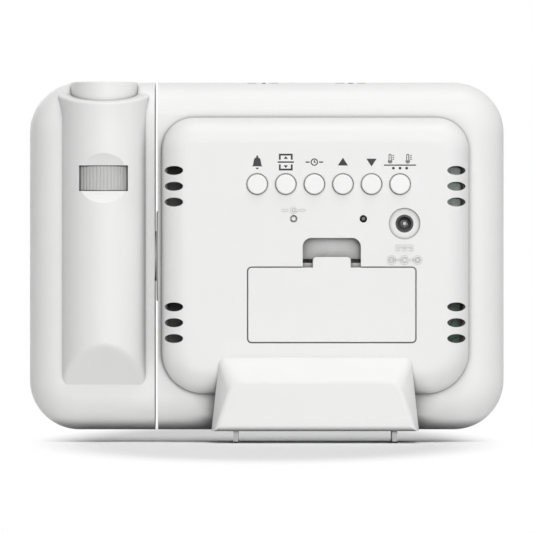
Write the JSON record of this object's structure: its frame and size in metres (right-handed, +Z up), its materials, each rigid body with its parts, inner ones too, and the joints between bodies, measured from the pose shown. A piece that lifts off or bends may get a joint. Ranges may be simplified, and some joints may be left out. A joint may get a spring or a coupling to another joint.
{
  "type": "projection alarm clock",
  "caption": "Rounded desk alarm clock with display, rear keys, battery door and foot, and a side wing that swivels and holds a focusing time projector.",
  "frame": {"origin": "middle of the footprint, on the surface that the skids stand on", "axes": "+X towards the projector wing, -Y towards the display, +Y towards the rear keys, +Z up"},
  "size_m": [0.1902, 0.05, 0.144],
  "materials": {
    "white_shell": "satin",
    "white_key": "satin",
    "white_holder": "matte",
    "white_bearing": "satin",
    "grey_wheel": "satin",
    "black_plastic": "satin",
    "window_glass": "gloss",
    "lcd_glass": "gloss",
    "clear_guide": "gloss",
    "lens_glass": "gloss",
    "lamp_resin": "gloss",
    "sensor_resin": "gloss",
    "circuit_board": "satin",
    "steel_screw": "satin",
    "contact_metal": "polished",
    "cell_jacket": "gloss",
    "dark_rubber": "matte"
  },
  "bodies": {
    "case": {"back_cover": "white_shell", "front_frame": "white_shell", "display_window": "window_glass", "lcd_panel": "lcd_glass", "light_guide": "clear_guide", "backlight_strip": "circuit_board", "display_holder": "white_holder", "display_screws": "steel_screw", "main_board": "circuit_board", "main_board_screws": "steel_screw", "main_board_parts": "black_plastic", "key_board": "circuit_board", "key_board_screws": "steel_screw", "tact_switches": "black_plastic", "light_sensor": "sensor_resin", "dc_jack": "black_plastic", "dc_jack_pin": "contact_metal", "snooze_board": "circuit_board", "snooze_screws": "steel_screw", "snooze_switch": "black_plastic", "battery_tray": "white_holder", "tray_screws": "steel_screw", "battery_contacts": "contact_metal", "battery_springs": "contact_metal", "battery_cell_upper": "cell_jacket", "battery_cell_lower": "cell_jacket", "speaker": "black_plastic", "skid_left": "white_shell", "skid_right": "white_shell", "skid_tip_left": "dark_rubber", "skid_tip_right": "dark_rubber", "pivot_bush": "white_bearing", "friction_washer": "contact_metal"},
    "wing": {"wing_back": "white_shell", "wing_front": "white_shell", "pivot_hub": "white_bearing", "hub_clip": "contact_metal", "hub_screws": "steel_screw", "projector_chassis": "black_plastic", "chassis_screws": "steel_screw", "lamp_board": "circuit_board", "projector_lamp": "lamp_resin", "condenser_lens": "lens_glass", "image_holder": "black_plastic", "image_lcd": "lcd_glass", "lens_collar": "white_shell", "exit_lens": "lens_glass"},
    "focus_wheel": {"focus_ring": "grey_wheel"},
    "lens_carriage": {"lens_carrier": "black_plastic", "projection_lens": "lens_glass"},
    "door": {"battery_door": "white_shell"},
    "snooze": {"snooze_bar": "white_key"},
    "reset": {"reset_pin": "white_key"},
    "alarm_key": {"alarm_key": "white_key"},
    "flip_key": {"flip_key": "white_key"},
    "mode_key": {"mode_key": "white_key"},
    "up_key": {"up_key": "white_key"},
    "down_key": {"down_key": "white_key"},
    "unit_key": {"unit_key": "white_key"}
  },
  "joints": [
    {"name": "wing_swivel", "type": "hinge", "parent": "case", "child": "wing", "pos_m": [0.0442, -0.011, 0.0744], "axis": [1, 0, 0], "range_deg": [-90, 90]},
    {"name": "focus_turn", "type": "hinge", "parent": "wing", "child": "focus_wheel", "pos_m": [0.0651, -0.0015, 0.1054], "axis": [0, 0, 1], "range_deg": [-120, 120]},
    {"name": "lens_travel", "type": "slide", "parent": "wing", "child": "lens_carriage", "axis": [0, 0, 1], "range_m": [-0.002, 0.002]},
    {"name": "door_hinge", "type": "hinge", "parent": "case", "child": "door", "pos_m": [-0.0259, 0.0135, 0.0412], "axis": [-1, 0, 0], "range_deg": [0, 95]},
    {"name": "snooze_press", "type": "slide", "parent": "case", "child": "snooze", "axis": [0, 0, -1], "range_m": [0, 0.0006], "stiffness_N_per_m": 600, "springref_m": -0.0006},
    {"name": "reset_press", "type": "slide", "parent": "case", "child": "reset", "axis": [0, -1, 0], "range_m": [0, 0.0005], "stiffness_N_per_m": 400, "springref_m": -0.0004},
    {"name": "alarm_press", "type": "slide", "parent": "case", "child": "alarm_key", "axis": [0, -1, 0], "range_m": [0, 0.0006], "stiffness_N_per_m": 500, "springref_m": -0.0006},
    {"name": "flip_press", "type": "slide", "parent": "case", "child": "flip_key", "axis": [0, -1, 0], "range_m": [0, 0.0006], "stiffness_N_per_m": 500, "springref_m": -0.0006},
    {"name": "mode_press", "type": "slide", "parent": "case", "child": "mode_key", "axis": [0, -1, 0], "range_m": [0, 0.0006], "stiffness_N_per_m": 500, "springref_m": -0.0006},
    {"name": "up_press", "type": "slide", "parent": "case", "child": "up_key", "axis": [0, -1, 0], "range_m": [0, 0.0006], "stiffness_N_per_m": 500, "springref_m": -0.0006},
    {"name": "down_press", "type": "slide", "parent": "case", "child": "down_key", "axis": [0, -1, 0], "range_m": [0, 0.0006], "stiffness_N_per_m": 500, "springref_m": -0.0006},
    {"name": "unit_press", "type": "slide", "parent": "case", "child": "unit_key", "axis": [0, -1, 0], "range_m": [0, 0.0006], "stiffness_N_per_m": 500, "springref_m": -0.0006}
  ],
  "couplings": [
    {"joint": "focus_turn", "follows": "lens_travel", "rad_per_m": 1047.1}
  ]
}
